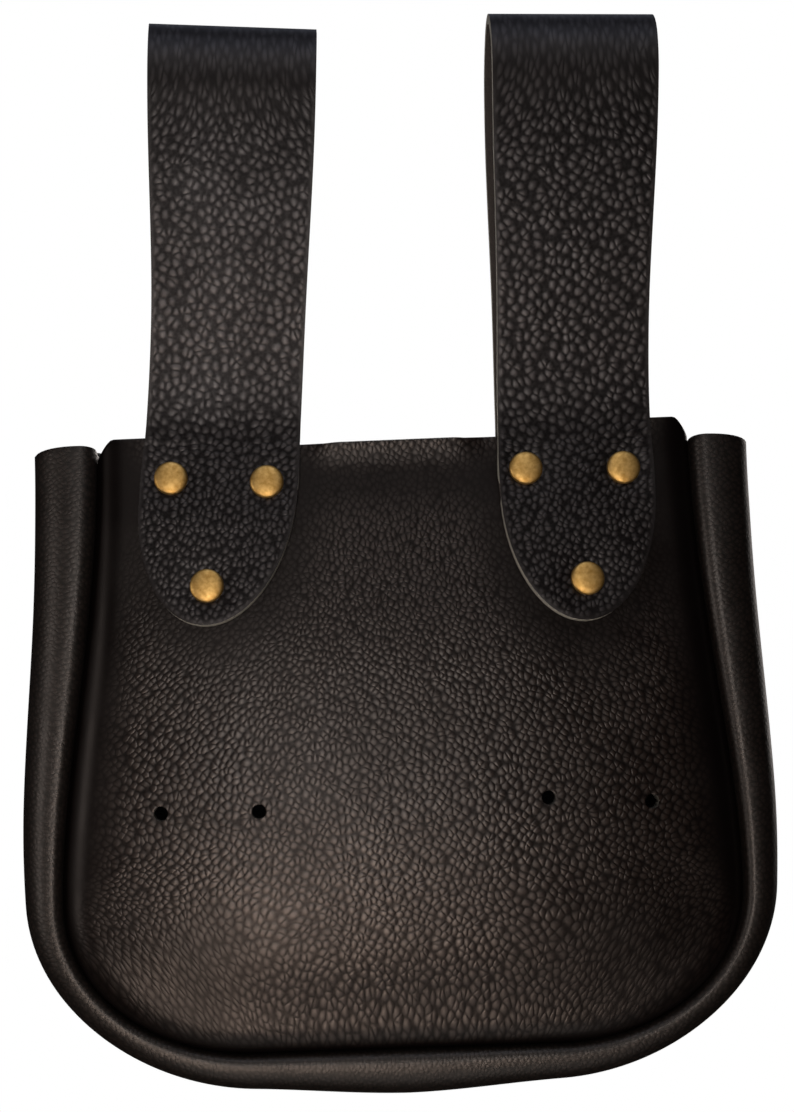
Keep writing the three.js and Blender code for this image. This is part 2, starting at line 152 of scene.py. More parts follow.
def through(rows, place, column, at):
    """A smooth curve through two columns of a table in millimetres; at and the result are in metres."""
    at = min(max(at / MM, rows[0][place]), rows[-1][place])
    last = len(rows) - 1
    index = max(row for row in range(last) if rows[row][place] <= at)

    def slope(row):
        before, after = rows[max(row - 1, 0)], rows[min(row + 1, last)]
        return (after[column] - before[column]) / (after[place] - before[place])

    low, high = rows[index], rows[index + 1]
    span = high[place] - low[place]
    share = (at - low[place]) / span
    rest = 1.0 - share
    bend = (slope(index) * rest - slope(index + 1) * share) * share * rest * span
    return (mix(low[column], high[column], smooth_step(share, 0.0, 1.0)) + bend) * MM


def side_half_width(z):
    """Half the width between the side seams, as if the sides ran on to the bottom."""
    share = min(max((MOUTH_Z - z) / SIDE_RUN, 0.0), 1.0) ** SIDE_EASE
    return mix(MOUTH_HALF_WIDTH, BELLY_HALF_WIDTH, smooth_step(share, 0.0, 1.0))


def rivet_dip(x, z):
    """How far the leather is drawn in round the rivets."""
    dip = 0.0
    for rivet in RIVETS:
        away = math.hypot(x - rivet["x"] * MM, z - rivet["z"] * MM)
        dip += RIVET_DIP * math.exp(-((away / RIVET_DIP_REACH) ** 2))
    return dip


def panel_face(x, z):
    """A place on the back panel's grain side, inside its turned edges."""
    drop = MOUTH_Z - z
    swell = through(PANEL_CROWNS, "drop", "crown", drop) * (1.0 - abs(x / side_half_width(z)) ** CROWN_POWER)
    depth = through(SEAM_DEPTHS, "run", "depth", drop)
    return Vector((x, MIDDLE_Y - depth - EDGE_RISE - swell, z))


def beside_panel(x, z, distance):
    """A place outside the panel's grain side, or inside it where the distance is negative."""
    across = panel_face(x + MM, z) - panel_face(x - MM, z)
    up = panel_face(x, z + MM) - panel_face(x, z - MM)
    place = panel_face(x, z) + across.cross(up).normalized() * distance
    place.y += rivet_dip(x, z)
    return place


PANEL_COLUMNS = 140
PANEL_ROWS = 142
FLANGE_RINGS = 2
EDGE_RINGS = 12


def panel_place(column, row, lip_shaped):
    """A place of the panel's grid and its distance from the seam. The grid is made of nested U-shaped rings:
    the flange inside the pouch, the turned edge, and then rings that close in on the middle."""
    middle_ring = PANEL_COLUMNS // 2
    last_edge_ring = FLANGE_RINGS + EDGE_RINGS
    ring = min(column, PANEL_COLUMNS - column, PANEL_ROWS - row)
    turn = min(max((ring - FLANGE_RINGS) / EDGE_RINGS, 0.0), 1.0) * math.pi / 2.0
    inset = EDGE_WIDTH * (1.0 - math.cos(turn))
    rise = EDGE_RISE * math.sin(turn)
    flange = FLANGE * max(FLANGE_RINGS - ring, 0) / FLANGE_RINGS
    inward = max(0.0, (ring - last_edge_ring) / (middle_ring - last_edge_ring))
    bottom = BOTTOM_Z + inset + inward * RING_REACH
    corner_width = (CORNER_WIDTH - inset) * (1.0 - inward)
    corner_height = (CORNER_HEIGHT - inset) * (1.0 - inward)
    half_corner = (corner_width + corner_height) * math.pi / 8.0
    corner_x = (side_half_width(BELLY_Z) - inset) * (1.0 - inward) - corner_width
    corner_z = bottom + corner_height
    hand = (column > middle_ring) - (column < middle_ring)
    mouth_x = hand * (MOUTH_HALF_WIDTH - inset) * (1.0 - inward)
    top = MOUTH_Z - MOUTH_CORNER_DROP * max(0.0, 1.0 - inset / MOUTH_CORNER_INSET) ** MOUTH_CORNER_POWER
    if lip_shaped:
        top += MOUTH_TILT * mouth_x / MOUTH_HALF_WIDTH
        top -= LIP_SAG * (1.0 - smooth_step(abs(mouth_x), LIP_SAG_START, LIP_SAG_END))
    else:
        top -= FRONT_MOUTH_DROP
    on_side = PANEL_ROWS - row > ring or ring == middle_ring
    if on_side:
        run = (top - corner_z + half_corner) * row / (PANEL_ROWS - ring)
        past_corner = run - (top - corner_z)
    else:
        run = (corner_x + half_corner) * abs(column - middle_ring) / (middle_ring - ring)
        past_corner = run - corner_x
    turned = max(0.0, past_corner) / max(half_corner, TINY) * math.pi / 4.0
    if on_side and turned == 0.0:
        z = top - run
        x = (side_half_width(z) - inset) * (1.0 - inward)
    elif on_side:
        z = corner_z - corner_height * math.sin(turned)
        x = corner_x + corner_width * math.cos(turned)
    elif turned == 0.0:
        z = bottom
        x = run
    else:
        z = corner_z - corner_height * math.cos(turned)
        x = corner_x + corner_width * math.sin(turned)
    place = panel_face(hand * x, z)
    place.y += EDGE_RISE - rise + flange
    if lip_shaped:
        place.y += rivet_dip(hand * x, z)
        across = smooth_step(LIP_HALF_WIDTH - x, 0.0, LIP_EDGE)
        place.y -= LIP_FLARE * across * max(0.0, 1.0 - (top - z) / LIP_HEIGHT) ** 2
    return place, inset + inward * (BELLY_HALF_WIDTH - EDGE_WIDTH)


def grid_mesh(columns, rows, place_at):
    """A grid whose corners go where place_at(column, row) says. place_at gives a place, a flat place on the
    leather in millimetres for the grain, and how much of the grain shows there. The grid starts one unit wide
    and high about the origin, so that each corner tells its column and row."""
    sheet = bmesh.new()
    flat_layer = sheet.loops.layers.uv.new("leather_mm")
    grain_layer = sheet.verts.layers.float.new("grain")
    bmesh.ops.create_grid(sheet, x_segments=columns, y_segments=rows, size=0.5)
    flat_places = {}
    for corner in sheet.verts:
        column = round((corner.co.x + 0.5) * columns)
        row = round((0.5 - corner.co.y) * rows)
        corner.co, flat_places[corner], corner[grain_layer] = place_at(column, row)
    for face in sheet.faces:
        face.smooth = True
        for loop in face.loops:
            loop[flat_layer].uv = flat_places[loop.vert]
    return sheet


PUNCH_REFINED_REACH = 3.0
PUNCH_RIM_REACH = 2.0
PUNCH_CUTS = 2


def punch(sheet, x, z, radius):
    """Refine the sheet round one place and take out a round hole there. The reaches are in hole radii."""

    def away(place):
        return math.hypot(place.x - x, place.z - z)

    refined = PUNCH_REFINED_REACH * radius
    near = [edge for edge in sheet.edges if all(away(corner.co) < refined for corner in edge.verts)]
    bmesh.ops.subdivide_edges(sheet, edges=near, cuts=PUNCH_CUTS, use_grid_fill=True)
    inside = [face for face in sheet.faces if away(face.calc_center_median()) < radius]
    bmesh.ops.delete(sheet, geom=inside, context="FACES")
    for corner in sheet.verts:
        if corner.is_boundary and away(corner.co) < PUNCH_RIM_REACH * radius:
            share = radius / away(corner.co)
            corner.co.x = mix(x, corner.co.x, share)
            corner.co.z = mix(z, corner.co.z, share)


# A piece of leather has three materials, in this order: grain side, flesh side and cut edge. The rounding
# along a cut takes the cut edge's material or its neighbour's.
FLESH_SLOT = 1
EDGE_SLOT = 2
NEIGHBOUR_SLOT = -1
ROUNDING_SEGMENTS = 2
ROUNDING_ANGLE = math.radians(50.0)


def finish_leather(name, sheet, thickness, rounding_width, rounding_slot, materials, node):
    """Make the sheet a piece of leather: its grain side stays as modelled, and its thickness gives it the
    flesh side and the cut edges."""
    mesh = bpy.data.meshes.new(name)
    sheet.to_mesh(mesh)
    sheet.free()
    piece = bpy.data.objects.new(name, mesh)
    bpy.context.scene.collection.objects.link(piece)
    for material in materials:
        mesh.materials.append(material)
    wall = piece.modifiers.new("thickness", "SOLIDIFY")
    wall.thickness = thickness
    wall.offset = -1.0
    wall.material_offset = FLESH_SLOT
    wall.material_offset_rim = EDGE_SLOT
    rounding = piece.modifiers.new("rounded_cut_edges", "BEVEL")
    rounding.width = rounding_width
    rounding.segments = ROUNDING_SEGMENTS
    rounding.limit_method = "ANGLE"
    rounding.angle_limit = ROUNDING_ANGLE
    rounding.profile = 0.5
    rounding.material = rounding_slot
    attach(piece, "root")
    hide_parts(node)


def linear(hex_colour):
    """An sRGB hex colour as linear RGBA."""
    channels = [int(hex_colour[at:at + 2], 16) / 255.0 for at in (1, 3, 5)]
    return [c / 12.92 if c <= 0.04045 else ((c + 0.055) / 1.055) ** 2.4 for c in channels] + [1.0]


def add_node(tree, kind, output, inputs, **settings):
    """Add a node with its settings, set or link its inputs, and give back one of its outputs."""
    added = tree.nodes.new(kind)
    for setting, value in settings.items():
        setattr(added, setting, value)
    for key, value in inputs.items():
        socket = added.inputs[key] if isinstance(key, int) else next(
            one for one in added.inputs if one.enabled and one.name == key
        )
        if isinstance(value, bpy.types.NodeSocket):
            tree.links.new(value, socket)
        else:
            socket.default_value = value
    return next(one for one in added.outputs if one.enabled and one.name == output)


def new_material(name):
    """A new material with its node tree and its shader."""
    material = bpy.data.materials.new(name)
    material.use_nodes = True
    return material, material.node_tree, material.node_tree.nodes["Principled BSDF"]


# The pattern that all the leathers share. The grain wanders and runs aslant, the pebbles are a little uneven,
# pores mottle them, and the wax lies in wide patches. The wander's reach is in millimetres, and a pebble's
# top and crease are in cells.
WANDER_PER_MM = 0.15
WANDER_DETAIL = 1.0
WANDER_REACH = (1.4, 1.4, 0.0)
GRAIN_SLANT = 0.6
PEBBLE_DISORDER = 0.68
PEBBLE_TOP = 0.03
CREASE_REACH = 0.2
CREASE_FLOOR = 0.45
LEAST_RUBBED = 0.6
MOST_RUBBED = 1.45
PORES_PER_MM = 1.1
PORE_DETAIL = 2.0
PORE_LOW = 0.35
PORE_HIGH = 0.7
PORE_DARKER = -0.06
PORE_PALER = 0.18
PORE_RELIEF = 0.12
TOP_GLOSS = 0.5
WAX_PER_MM = 0.06
WAX_DETAIL = 3.0
WAX_LOW = 0.3
WAX_HIGH = 0.7
WAX_UNEVENNESS = 0.04


def pebbled_leather(name, cell, reach, relief, smooth_level, crease_gloss, top_colour, crease_colour, painted_light_tint,
                    roughness):
    """Milled full-grain cowhide: drum-dyed, tumbled until the grain breaks into soft round pebbles, and
    lightly waxed. The pebbles' tops are rubbed paler, each by its own amount, and the creases are painted
    darker and duller: painted shade in the creases. Sizes are in millimetres, reach is a pebble's in cells,
    smooth_level sets the tone and gloss where no grain shows, and the reflections' tint is a painted cast of
    the light's colour."""
    material, tree, shader = new_material(name)
    place = add_node(tree, "ShaderNodeUVMap", "UV", {}, uv_map="leather_mm")
    wander = add_node(tree, "ShaderNodeTexNoise", "Color", {
        "Vector": place, "Scale": WANDER_PER_MM, "Detail": WANDER_DETAIL,
    }, noise_dimensions="2D")
    warped = add_node(tree, "ShaderNodeVectorMath", "Vector", {
        0: wander, 1: WANDER_REACH, 2: place,
    }, operation="MULTIPLY_ADD")
    aslant = add_node(tree, "ShaderNodeVectorRotate", "Vector", {
        "Vector": warped, "Angle": GRAIN_SLANT,
    }, rotation_type="Z_AXIS")
    cells = {"Vector": aslant, "Scale": 1.0 / cell, "Randomness": PEBBLE_DISORDER}
    away = add_node(tree, "ShaderNodeTexVoronoi", "Distance", cells, voronoi_dimensions="2D")
    dome = add_node(tree, "ShaderNodeMapRange", "Result", {
        "Value": away, "From Min": reach, "From Max": PEBBLE_TOP,
    }, interpolation_type="SMOOTHSTEP")
    border = add_node(tree, "ShaderNodeTexVoronoi", "Distance", cells, voronoi_dimensions="2D",
                      feature="DISTANCE_TO_EDGE")
    # Painted shade: the creases between the pebbles are darkened in colour and gloss, standing in for the
    # shade that falls in them.
    crease = add_node(tree, "ShaderNodeMapRange", "Result", {
        "Value": border, "From Max": CREASE_REACH, "To Min": CREASE_FLOOR,
    }, interpolation_type="SMOOTHSTEP")
    pebble = add_node(tree, "ShaderNodeMath", "Value", {0: dome, 1: crease}, operation="MULTIPLY")
    chance = add_node(tree, "ShaderNodeTexVoronoi", "Color", cells, voronoi_dimensions="2D")
    rubbed = add_node(tree, "ShaderNodeMapRange", "Result", {
        "Value": chance, "To Min": LEAST_RUBBED, "To Max": MOST_RUBBED,
    })
    rubbed_tops_and_crease_shade = add_node(tree, "ShaderNodeMath", "Value", {0: pebble, 1: rubbed}, operation="MULTIPLY")
    pores = add_node(tree, "ShaderNodeTexNoise", "Fac", {
        "Vector": place, "Scale": PORES_PER_MM, "Detail": PORE_DETAIL,
    }, noise_dimensions="2D")
    mottle = add_node(tree, "ShaderNodeMapRange", "Result", {
        "Value": pores, "From Min": PORE_LOW, "From Max": PORE_HIGH,
        "To Min": PORE_DARKER, "To Max": PORE_PALER,
    })
    tops = add_node(tree, "ShaderNodeMath", "Value", {0: rubbed_tops_and_crease_shade, 1: mottle}, use_clamp=True)
    shown = add_node(tree, "ShaderNodeAttribute", "Fac", {}, attribute_name="grain")
    grain = add_node(tree, "ShaderNodeMath", "Value", {0: pebble, 1: shown}, operation="MULTIPLY")
    height = add_node(tree, "ShaderNodeMath", "Value", {
        0: pores, 1: PORE_RELIEF, 2: grain,
    }, operation="MULTIPLY_ADD")
    bump = add_node(tree, "ShaderNodeBump", "Normal", {
        "Height": height, "Distance": relief * MM, "Strength": 1.0,
    })
    tree.links.new(bump, shader.inputs["Normal"])
    # Where less grain shows the leather takes smooth_level's tone and gloss. This mask carries real rubbing
    # of the tops and painted shade in the creases and wherever the grain is turned down.
    wear_and_painted_shade = add_node(tree, "ShaderNodeMix", "Result", {
        "Factor": shown, "A": smooth_level, "B": tops,
    }, data_type="FLOAT")
    colour = add_node(tree, "ShaderNodeMix", "Result", {
        "Factor": wear_and_painted_shade, "A": linear(crease_colour), "B": linear(top_colour),
    }, data_type="RGBA")
    tree.links.new(colour, shader.inputs["Base Color"])
    # The gloss drops in the creases as the colour does: painted shade.
    gloss = add_node(tree, "ShaderNodeMapRange", "Result", {
        "Value": wear_and_painted_shade, "To Min": crease_gloss, "To Max": TOP_GLOSS,
    })
    tree.links.new(gloss, shader.inputs["Specular IOR Level"])
    # Painted light: the reflections get a faint warm or cool tint per piece, standing in for the colour of
    # the lamps on it.
    shader.inputs["Specular Tint"].default_value = linear(painted_light_tint)
    patches = add_node(tree, "ShaderNodeTexNoise", "Fac", {
        "Vector": place, "Scale": WAX_PER_MM, "Detail": WAX_DETAIL,
    }, noise_dimensions="2D")
    rough = add_node(tree, "ShaderNodeMapRange", "Result", {
        "Value": patches, "From Min": WAX_LOW, "From Max": WAX_HIGH,
        "To Min": roughness - WAX_UNEVENNESS, "To Max": roughness + WAX_UNEVENNESS,
    })
    tree.links.new(rough, shader.inputs["Roughness"])
    return material


NAP = {"size": 0.5, "detail": 4.0, "relief": 0.2, "roughness": 0.95}
CUT_FIBRE = {"size": 0.8, "detail": 5.0, "relief": 0.15, "roughness": 0.8}


def raw_fibre(name, fibre, dark_colour, pale_colour):
    """Dyed leather without its grain, mottled and dull: the short nap of the flesh side, or the fibre of the
    core at a cut edge, which shows paler than the faces. Sizes are in millimetres."""
    material, tree, shader = new_material(name)
    place = add_node(tree, "ShaderNodeTexCoord", "Object", {})
    tufts = add_node(tree, "ShaderNodeTexNoise", "Fac", {
        "Vector": place, "Scale": 1.0 / (fibre["size"] * MM), "Detail": fibre["detail"],
    })
    colour = add_node(tree, "ShaderNodeMix", "Result", {
        "Factor": tufts, "A": linear(dark_colour), "B": linear(pale_colour),
    }, data_type="RGBA")
    tree.links.new(colour, shader.inputs["Base Color"])
    shader.inputs["Roughness"].default_value = fibre["roughness"]
    bump = add_node(tree, "ShaderNodeBump", "Normal", {"Height": tufts, "Distance": fibre["relief"] * MM})
    tree.links.new(bump, shader.inputs["Normal"])
    return material


# Where the panels' grain is drawn out, finer or crowded, and where it fades out beside the seams. Beside the
# tongues and under the lip it is turned down, which paints shadow and shade there as darker, duller leather.
STRETCH_REACH = 30.0 * MM
STRETCH_SHARE = 0.6
STRETCH_LEAN = 0.6
FINE_GRAIN_START = -185.0 * MM
FINE_GRAIN_END = -125.0 * MM
FINE_GRAIN = 1.3
SIDE_SMOOTH_START = 4.0 * MM
SIDE_SMOOTH_END = 18.0 * MM
BOTTOM_SMOOTH_START = 0.5 * MM
BOTTOM_SMOOTH_END = 4.0 * MM
BOTTOM_HALF_INNER = 27.5 * MM
BOTTOM_HALF_OUTER = 55.0 * MM
CORNER_GRAIN_INNER = 18.0 * MM
CORNER_GRAIN_OUTER = 56.0 * MM
CORNER_GRAIN_TOP = 198.0 * MM
CORNER_GRAIN_BOTTOM = 226.0 * MM
CORNER_DRAW = 0.5
CORNER_CROWD = 0.5
CORNER_GRAIN = 0.45
CORNER_ANGLE = math.radians(57.0)
# Painted shadow beside the tongues and painted shade under the lip: how far they reach and how much grain is
# left.
TONGUE_SHADOW_REACH = 13.0 * MM
GRAIN_IN_TONGUE_SHADOW = 0.25
LIP_SHADE_DROP = 13.0 * MM
LIP_SHADE_REACH = 7.0 * MM
LIP_PAINTED_SHADE = 0.75
LIP_BAND = 12.0 * MM


def panel_grain(place, from_seam):
    """The flat place of the grain on a panel and how much of the grain shows there. The grain is finer near
    the mouth and drawn out downwards at the bottom. In the bottom corners it is crowded, drawn out aslant and
    less rubbed."""
    hand = 1.0 if place.x > 0.0 else -1.0
    corner = smooth_step(abs(place.x), CORNER_GRAIN_INNER, CORNER_GRAIN_OUTER)
    corner *= smooth_step(-place.z, CORNER_GRAIN_TOP, CORNER_GRAIN_BOTTOM)
    near_bottom = max(0.0, STRETCH_REACH - (place.z - BOTTOM_Z))
    stretch = (1.0 - corner) * near_bottom ** 2 / STRETCH_REACH / 2.0
    lean = STRETCH_LEAN * place.x / BELLY_HALF_WIDTH * stretch
    finer = smooth_step(place.z, FINE_GRAIN_START, FINE_GRAIN_END)
    above = max(0.0, place.z - FINE_GRAIN_START)
    flat_x = place.x * mix(1.0, FINE_GRAIN, finer) + lean
    flat_z = place.z + STRETCH_SHARE * stretch + (FINE_GRAIN - 1.0) * above * finer / 2.0
    aslant = Vector((-hand * math.cos(CORNER_ANGLE), -math.sin(CORNER_ANGLE)))
    crosswise = aslant.orthogonal()
    offset = Vector((place.x - hand * CORNER_GRAIN_OUTER, place.z + CORNER_GRAIN_BOTTOM))
    flat = Vector((flat_x, flat_z)) - aslant * (corner * CORNER_DRAW * offset.dot(aslant))
    flat += crosswise * (corner * CORNER_CROWD * offset.dot(crosswise))
    # Beside the seams the grain fades out into smooth leather. On the panels that smooth band takes the
    # creases' dark tone and dull gloss, which paints the shade beside the gusset's roll.
    side = smooth_step(abs(place.x), BOTTOM_HALF_INNER, BOTTOM_HALF_OUTER) * (1.0 - corner)
    start = mix(BOTTOM_SMOOTH_START, SIDE_SMOOTH_START, side)
    end = mix(BOTTOM_SMOOTH_END, SIDE_SMOOTH_END, side)
    return flat / MM, smooth_step(from_seam, start, end) * mix(1.0, CORNER_GRAIN, corner)


def from_tongue(place):
    """Roughly how far a place on the back panel is from the edge of the nearer strap's tongue."""
    nearest = TONGUE_SHADOW_REACH
    for strap in STRAPS:
        middle = (strap["rivet_x"] + strap["tip_x"]) / 2.0 * MM
        below = max(0.0, TONGUE_START_Z - place.z) / (TONGUE_START_Z - strap["tip_z"] * MM)
        away = math.hypot((place.x - middle) / TONGUE_HALF_WIDTH, below) - 1.0
        nearest = min(nearest, away * TONGUE_HALF_WIDTH)
    return nearest


def panel_corner(column, row, lip_shaped):
    """A place on a panel's grid with its grain. Beside the tongues and under the lip the back panel's grain
    is turned down, which paints it darker and duller: a painted shadow of the tongues and painted shade under
    the lip."""
    place, from_seam = panel_place(column, row, lip_shaped)
    flat, grain = panel_grain(place, from_seam)
    if lip_shaped:
        drop = MOUTH_Z - place.z
        # Painted shadow: beside the tongues the grain is turned down, so the leather takes the creases'
        # darker, duller tone.
        painted_tongue_shadow = 1.0 - smooth_step(from_tongue(place), 0.0, TONGUE_SHADOW_REACH)
        grain *= mix(1.0, GRAIN_IN_TONGUE_SHADOW, painted_tongue_shadow * smooth_step(drop, 0.0, LIP_BAND))
        # Painted shade: a band under the lip has its grain turned down, which darkens and dulls it.
        from_lip_shade = (drop - LIP_SHADE_DROP) / LIP_SHADE_REACH
        grain *= 1.0 - LIP_PAINTED_SHADE * math.exp(-(from_lip_shade ** 2))
    return place, flat, grain


# smooth_level 0 gives the panels' smooth seam bands, and the grain turned down beside the tongues and under
# the lip, the darkest colour and dullest gloss: painted shade there.
panel_leather = pebbled_leather(
    "black_milled_cowhide", cell=1.75, reach=0.78, relief=0.09, smooth_level=0.0, crease_gloss=0.16,
    top_colour="#18110e", crease_colour="#060404", painted_light_tint="#fffaf6", roughness=0.38,
)
leather_flesh = raw_fibre("black_flesh_side", NAP, "#1a1817", "#3a3633")
panel_edge = raw_fibre("dark_cut_edge", CUT_FIBRE, "#22221f", "#42433d")
PANEL_FACES = [panel_leather, leather_flesh, panel_edge]
PANEL_CUT_ROUNDING = 0.4 * MM

back_sheet = grid_mesh(PANEL_COLUMNS, PANEL_ROWS, lambda column, row: panel_corner(column, row, True))
for hole in PUNCHED_HOLES:
    punch(back_sheet, hole["x"] * MM, hole["z"] * MM, PUNCHED_HOLE_RADIUS)
for rivet in RIVETS:
    punch(back_sheet, rivet["x"] * MM, rivet["z"] * MM, RIVET_HOLE_RADIUS)
finish_leather("back_panel_leather", back_sheet, PANEL_LEATHER, PANEL_CUT_ROUNDING, NEIGHBOUR_SLOT,
               PANEL_FACES, "back_panel")

# Belt loops
# Two wide straps of the same hide, coarser in grain, each folded over into a loop and tapered to a tongue at
# both ends. One leg lies outside the back panel and one inside it, and their cut edges show grey.
STRAP_LEATHER = 2.4 * MM
CLEARANCE = 0.3 * MM
STRAP_WIDTHS = (
    {"drop": -5, "width": 40.9},
    {"drop": 0, "width": 40.9},
    {"drop": 25, "width": 40.2},
    {"drop": 65, "width": 37.6},
    {"drop": 95, "width": 37.7},
    {"drop": 109, "width": 38.4},
    {"drop": 114, "width": 38.2},
)
STRAP_MIDDLE_DROP = 65
STRAP_RIVET_DROP = 109.3
LOOP_JOIN_Z = -100.5 * MM
LOOP_NECK_Z = -84.0 * MM
LOOP_WAIST_Z = -55.0 * MM
LOOP_SHOULDER_DROP = 15.0 * MM
LOOP_HALF_DEPTH = 9.0 * MM
STRAP_COLUMNS = 36
LEG_ROWS = 40
LEG_LOOP_ROWS = 70
FOLD_ROWS = 32
STRAP_ROWS = 2 * (LEG_ROWS + LEG_LOOP_ROWS) + FOLD_ROWS
TONGUE_POWER = 1.5
FOLD_GRAIN_SHARE = 0.45
STRAP_CUT_ROUNDING = 0.6 * MM
STRAP_SMOOTH_EDGE = 1.4 * MM
TONGUE_GRAIN = 1.4
TONGUE_GRAIN_START = -92.0 * MM
TONGUE_GRAIN_END = -118.0 * MM
FOLD_GRAIN_START = 8.0 * MM
FOLD_GRAIN_END = 36.0 * MM
FOLD_SMOOTH_START = 6.0 * MM
FOLD_SMOOTH_END = 28.0 * MM
FOLD_LEAST_GRAIN = 0.4
FOLD_GRAIN = 1.5


def loop_path(fold_z):
    """The strap's grain side in the loop, seen from the side, from the inner leg over the fold to the outer
    leg, and the flat length of the leather up to each place, shorter where the fold draws the grain out."""
    inner = beside_panel(0.0, LOOP_JOIN_Z, -PANEL_LEATHER - CLEARANCE - STRAP_LEATHER)
    outer = beside_panel(0.0, LOOP_JOIN_Z, CLEARANCE + STRAP_LEATHER)
    lean = (panel_face(0.0, LOOP_JOIN_Z + MM).y - panel_face(0.0, LOOP_JOIN_Z).y) / MM
    neck_shift = lean * (LOOP_NECK_Z - LOOP_JOIN_Z)
    reach = LOOP_HALF_DEPTH + STRAP_LEATHER
    shoulder_z = fold_z - LOOP_SHOULDER_DROP
    top_reach = LOOP_SHOULDER_DROP + STRAP_LEATHER
    up = geometry.interpolate_bezier(
        Vector((0.0, inner.y, inner.z)), Vector((0.0, inner.y + neck_shift, LOOP_NECK_Z)),
        Vector((0.0, reach, LOOP_WAIST_Z)), Vector((0.0, reach, shoulder_z)), LEG_LOOP_ROWS + 1,
    )
    over = [
        Vector((0.0, reach * math.cos(math.pi * step / FOLD_ROWS),
                shoulder_z + top_reach * math.sin(math.pi * step / FOLD_ROWS)))
        for step in range(1, FOLD_ROWS)
    ]
    down = geometry.interpolate_bezier(
        Vector((0.0, -reach, shoulder_z)), Vector((0.0, -reach, LOOP_WAIST_Z)),
        Vector((0.0, outer.y + neck_shift, LOOP_NECK_Z)), Vector((0.0, outer.y, outer.z)), LEG_LOOP_ROWS + 1,
    )
    path = up + over + down
    lengths = [0.0]
    for before, after in zip(path, path[1:]):
        below_fold = fold_z - after.z
        drawn_out = mix(FOLD_GRAIN_SHARE, 1.0, smooth_step(below_fold, FOLD_GRAIN_START, FOLD_GRAIN_END))
        lengths.append(lengths[-1] + (after - before).length * drawn_out)
    return path, lengths


def strap_corner(strap, path, lengths, column, row):
    """A place on a strap's grid with its grain. Rows run from the inner tongue over the fold to the outer
    tongue."""
    across = math.sin(math.pi / 2.0 * (2.0 * column / STRAP_COLUMNS - 1.0))
    middles = (
        {"drop": 0, "x": strap["fold_x"]},
        {"drop": STRAP_MIDDLE_DROP, "x": strap["middle_x"]},
        {"drop": STRAP_RIVET_DROP, "x": strap["rivet_x"]},
        {"drop": -strap["tip_z"], "x": strap["tip_x"]},
    )
    from_end = min(row, STRAP_ROWS - row)
    outside = row > STRAP_ROWS / 2
    if from_end < LEG_ROWS:
        tongue = 1.0 - from_end / LEG_ROWS
        edge_z = mix(LOOP_JOIN_Z, TONGUE_START_Z, tongue)
        sag = (TONGUE_START_Z - strap["tip_z"] * MM) * tongue ** TONGUE_POWER
        z = edge_z - sag * math.sqrt(max(0.0, 1.0 - across * across))
        half_width = through(STRAP_WIDTHS, "drop", "width", -edge_z) / 2.0
        x = through(middles, "drop", "x", -z) + half_width * across
        below = max(0.0, TONGUE_START_Z - z) / (TONGUE_START_Z - strap["tip_z"] * MM)
        from_edge = half_width * (1.0 - math.hypot(across, below))
        distance = CLEARANCE + STRAP_LEATHER
        place = beside_panel(x, z, distance if outside else -PANEL_LEATHER - distance)
        past_join = TONGUE_GRAIN * (LOOP_JOIN_Z - z)
        along = lengths[-1] + past_join if outside else -past_join
    else:
        point = path[row - LEG_ROWS]
        half_width = through(STRAP_WIDTHS, "drop", "width", -point.z) / 2.0
        x = through(middles, "drop", "x", -point.z) + half_width * across
        level = smooth_step(point.z, LOOP_JOIN_Z, LOOP_WAIST_Z)
        place = Vector((x, point.y, point.z + level * strap["fold_tilt"] * half_width * across))
        from_edge = half_width * (1.0 - abs(across))
        along = lengths[row - LEG_ROWS]
    below_fold = strap["fold_z"] * MM - place.z
    finer = mix(TONGUE_GRAIN, 1.0, smooth_step(place.z, TONGUE_GRAIN_END, TONGUE_GRAIN_START))
    finer *= mix(FOLD_GRAIN, 1.0, smooth_step(below_fold, FOLD_GRAIN_START, FOLD_GRAIN_END))
    flat = Vector((strap["fold_x"] * MM + half_width * across * finer, -along)) / MM
    shown = mix(FOLD_LEAST_GRAIN, 1.0, smooth_step(below_fold, FOLD_SMOOTH_START, FOLD_SMOOTH_END))
    grain = shown * smooth_step(from_edge, 0.0, STRAP_SMOOTH_EDGE)
    return place, flat, grain


strap_leather = pebbled_leather(
    "black_coarse_milled_cowhide", cell=2.25, reach=0.62, relief=0.09, smooth_level=0.4, crease_gloss=0.1,
    top_colour="#1a1717", crease_colour="#060505", painted_light_tint="#fcfbfd", roughness=0.4,
)
strap_edge = raw_fibre("grey_cut_edge", CUT_FIBRE, "#54554f", "#a0a299")
STRAP_FACES = [strap_leather, leather_flesh, strap_edge]
for strap in STRAPS:
    path, lengths = loop_path(strap["fold_z"] * MM)
    strap_sheet = grid_mesh(
        STRAP_COLUMNS, STRAP_ROWS, lambda column, row: strap_corner(strap, path, lengths, column, row)
    )
    finish_leather(strap["node"] + "_leather", strap_sheet, STRAP_LEATHER, STRAP_CUT_ROUNDING, EDGE_SLOT,
                   STRAP_FACES, strap["node"])

# Rivets
# Six domed double-cap rivets of brass, darkened with age: a cap outside, a post through strap, panel and
# strap, and a second cap inside the pouch. They were set with a press, so the leather is drawn in round them.
RIVET_CAP_RADIUS = 4.1 * MM
RIVET_CAP_RIM = 0.5 * MM
RIVET_CAP_HEIGHT = 1.9 * MM
RIVET_CAP_CHAMFER = 0.15 * MM
RIVET_DOME_POWER = 0.55
RIVET_POST_RADIUS = 1.5 * MM
RIVET_STEPS = 48
DOME_STEPS = 10
STAIN_SIZE = 1.1 * MM
STAIN_DETAIL = 3.0
STAIN_LOW = 0.3
STAIN_HIGH = 0.65
STAINED_ROUGHNESS = 0.54
RUBBED_ROUGHNESS = 0.46


